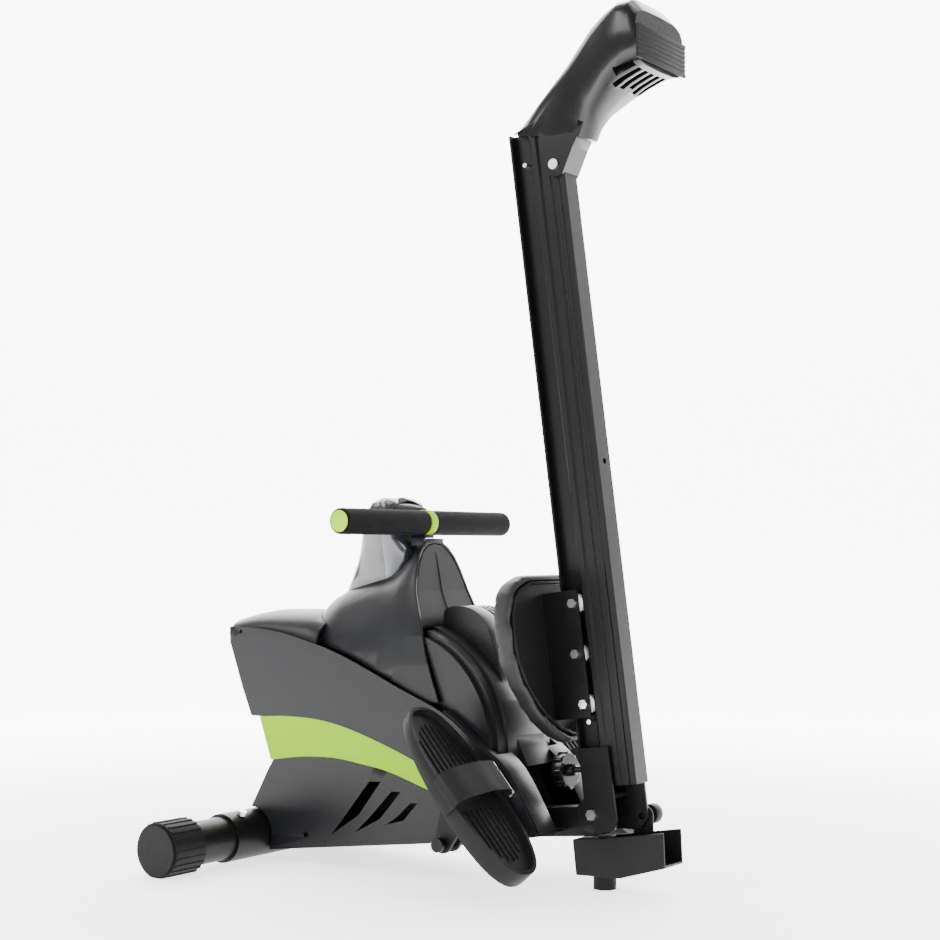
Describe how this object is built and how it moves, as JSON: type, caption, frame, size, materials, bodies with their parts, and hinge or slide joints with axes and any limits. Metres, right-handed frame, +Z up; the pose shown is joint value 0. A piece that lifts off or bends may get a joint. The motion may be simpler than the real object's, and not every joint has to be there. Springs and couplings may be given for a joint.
{
  "type": "folding magnetic rowing machine",
  "caption": "Folding magnetic rowing machine stored upright: housing with flywheel, handlebar, tilting footplates, sliding seat and a rail hinged at the front.",
  "frame": {"origin": "centre of the footprint's bounding box on the floor", "axes": "+Z up, +X from the front stabiliser towards the user, so the seat rail unfolds towards +X; +Y across the machine"},
  "size_m": [0.683, 0.566, 1.15],
  "materials": {
    "frame_steel": "satin powder coat",
    "rail_aluminium": "black anodised",
    "housing_plastic": "fine satin grain",
    "black_plastic": "matt",
    "gloss_black": "gloss",
    "lime_plastic": "satin",
    "lime_foam_end": "matt",
    "console_plastic": "gloss",
    "screen": "gloss",
    "foam": "foam",
    "rubber": "matt",
    "zinc": "zinc plated",
    "steel": "turned",
    "iron": "machined",
    "webbing": "woven",
    "upholstery": "grained leatherette",
    "roller_nylon": "smooth nylon",
    "magnet": "nickel"
  },
  "bodies": {
    "base": {"main_frame": "frame_steel", "front_stabilizer": "frame_steel", "stabilizer_saddle": "frame_steel", "saddle_bolts": "zinc", "stabilizer_cap_left": "rubber", "stabilizer_cap_right": "rubber", "middle_foot_bracket": "frame_steel", "middle_foot_pad": "rubber", "side_shell_left": "housing_plastic", "side_shell_right": "housing_plastic", "lime_band_left": "lime_plastic", "lime_band_right": "lime_plastic", "nose_cover": "housing_plastic", "tower_cover": "housing_plastic", "tower_rear_panel": "black_plastic", "flywheel_cover": "housing_plastic", "power_inlet": "black_plastic", "console_front": "console_plastic", "console_rear": "console_plastic", "console_screen": "screen", "handle_cradle": "black_plastic", "guide_rollers": "roller_nylon", "pull_strap": "webbing", "recoil_spring_case": "frame_steel", "drive_belt": "rubber", "resistance_motor": "black_plastic", "pedal_rod": "frame_steel", "hinge_bolt": "zinc"},
    "handle": {"handle_bar": "frame_steel", "foam_grip_left": "foam", "foam_grip_right": "foam", "handle_end_caps": "lime_foam_end", "handle_center_ring": "lime_plastic", "strap_clamp": "black_plastic"},
    "spool": {"strap_spool": "black_plastic"},
    "drive": {"drive_pulley": "black_plastic", "spool_axle": "steel"},
    "flywheel_rotor": {"flywheel": "iron", "flywheel_axle": "steel"},
    "brake_arm": {"magnet_arm": "steel", "magnets": "magnet"},
    "left_footplate": {"pedal_left": "black_plastic", "pedal_straps_left": "webbing"},
    "right_footplate": {"pedal_right": "black_plastic", "pedal_straps_right": "webbing"},
    "lock": {"lock_knob": "black_plastic"},
    "button": {"console_button": "black_plastic"},
    "clamp_knob": {"rail_knob": "gloss_black"},
    "seat_rail": {"rail": "rail_aluminium", "rail_foot": "gloss_black", "rail_foot_pad": "rubber", "rail_bolts": "zinc", "hinge_plates": "frame_steel"},
    "seat": {"seat_pad": "upholstery", "seat_base": "black_plastic", "seat_carriage": "frame_steel", "roller_bolts": "zinc"},
    "top_rollers": {"seat_rollers_top": "roller_nylon"},
    "middle_rollers": {"seat_rollers_middle": "roller_nylon"},
    "bottom_rollers": {"seat_rollers_bottom": "roller_nylon"}
  },
  "joints": [
    {"name": "rail_fold", "type": "hinge", "parent": "base", "child": "seat_rail", "pos_m": [0.235, 0, 0.097], "axis": [0, 1, 0], "range_deg": [0, 90]},
    {"name": "seat_slide", "type": "slide", "parent": "seat_rail", "child": "seat", "axis": [-0.1305, 0, 0.9914], "range_m": [0, 0.572]},
    {"name": "handle_pull", "type": "slide", "parent": "base", "child": "handle", "axis": [0.9914, 0, 0.1305], "range_m": [0, 0.15], "stiffness_N_per_m": 30, "springref_m": -0.5, "deforming": ["pull_strap"]},
    {"name": "spool_spin", "type": "hinge", "parent": "base", "child": "spool", "pos_m": [-0.198, 0, 0.226], "axis": [0, 1, 0], "range_deg": [0, 300]},
    {"name": "flywheel_spin", "type": "hinge", "parent": "base", "child": "flywheel_rotor", "pos_m": [-0.047, 0, 0.174], "axis": [0, 1, 0], "continuous": true},
    {"name": "drive_spin", "type": "hinge", "parent": "base", "child": "drive", "pos_m": [-0.198, 0, 0.226], "axis": [0, 1, 0], "continuous": true},
    {"name": "brake_arm_swing", "type": "hinge", "parent": "base", "child": "brake_arm", "pos_m": [-0.001, 0, 0.293], "axis": [0, 1, 0], "range_deg": [0, 4]},
    {"name": "left_footplate_tilt", "type": "hinge", "parent": "base", "child": "left_footplate", "pos_m": [0.098, -0.152, 0.066], "axis": [0, 1, 0], "range_deg": [-28, 0]},
    {"name": "right_footplate_tilt", "type": "hinge", "parent": "base", "child": "right_footplate", "pos_m": [0.098, 0.152, 0.066], "axis": [0, 1, 0], "range_deg": [-28, 0]},
    {"name": "lock_pull", "type": "slide", "parent": "base", "child": "lock", "axis": [0, 1, 0], "range_m": [-0.008, 0]},
    {"name": "button_press", "type": "slide", "parent": "base", "child": "button", "axis": [1, 0, 0], "range_m": [-0.002, 0], "stiffness_N_per_m": 300},
    {"name": "rail_knob_turn", "type": "hinge", "parent": "seat_rail", "child": "clamp_knob", "pos_m": [0.18281, 0, 0.14863], "axis": [0.9914, 0, 0.1305], "range_deg": [0, 1080]},
    {"name": "top_rollers_spin", "type": "hinge", "parent": "seat", "child": "top_rollers", "pos_m": [0.20581, 0, 0.37003], "axis": [0, 1, 0], "range_deg": [-2900, 2900]},
    {"name": "middle_rollers_spin", "type": "hinge", "parent": "seat", "child": "middle_rollers", "pos_m": [0.21056, 0, 0.30408], "axis": [0, 1, 0], "range_deg": [-2900, 2900]},
    {"name": "bottom_rollers_spin", "type": "hinge", "parent": "seat", "child": "bottom_rollers", "pos_m": [0.22304, 0, 0.23916], "axis": [0, 1, 0], "range_deg": [-2900, 2900]}
  ],
  "couplings": [
    {"joint": "drive_spin", "follows": "flywheel_spin", "ratio": 0.29412},
    {"joint": "spool_spin", "follows": "handle_pull", "rad_per_m": 32.258},
    {"joint": "top_rollers_spin", "follows": "seat_slide", "rad_per_m": 83.333},
    {"joint": "middle_rollers_spin", "follows": "seat_slide", "rad_per_m": -83.333},
    {"joint": "bottom_rollers_spin", "follows": "seat_slide", "rad_per_m": 83.333}
  ]
}
